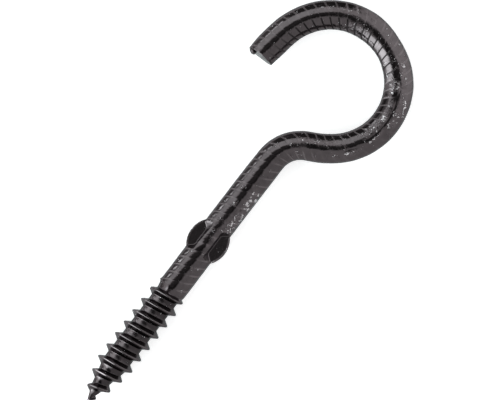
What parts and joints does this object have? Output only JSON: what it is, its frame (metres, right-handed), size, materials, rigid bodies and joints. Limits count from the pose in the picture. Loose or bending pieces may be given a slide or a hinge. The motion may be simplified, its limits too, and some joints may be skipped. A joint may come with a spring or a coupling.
{
  "type": "screw hook",
  "caption": "Open round hook bent from black coated steel wire, with pinched ears, a plain shank and a rolled wood-screw thread with a tapered point.",
  "frame": {"origin": "on the shank's axis at the foot of the pinched ears, where the hook seats against the wood", "axes": "+Y along the shank towards the hook, +X towards the side that the hook is cranked to, +Z square to the flat plane that the hook lies in"},
  "size_m": [0.0344, 0.0981, 0.0076],
  "materials": {
    "black_coated_steel": "glossy black passivated zinc over drawn steel wire, with fine helical drawing marks and small chipped flecks"
  },
  "bodies": {
    "root": {"screw_hook": "black_coated_steel"}
  },
  "joints": []
}
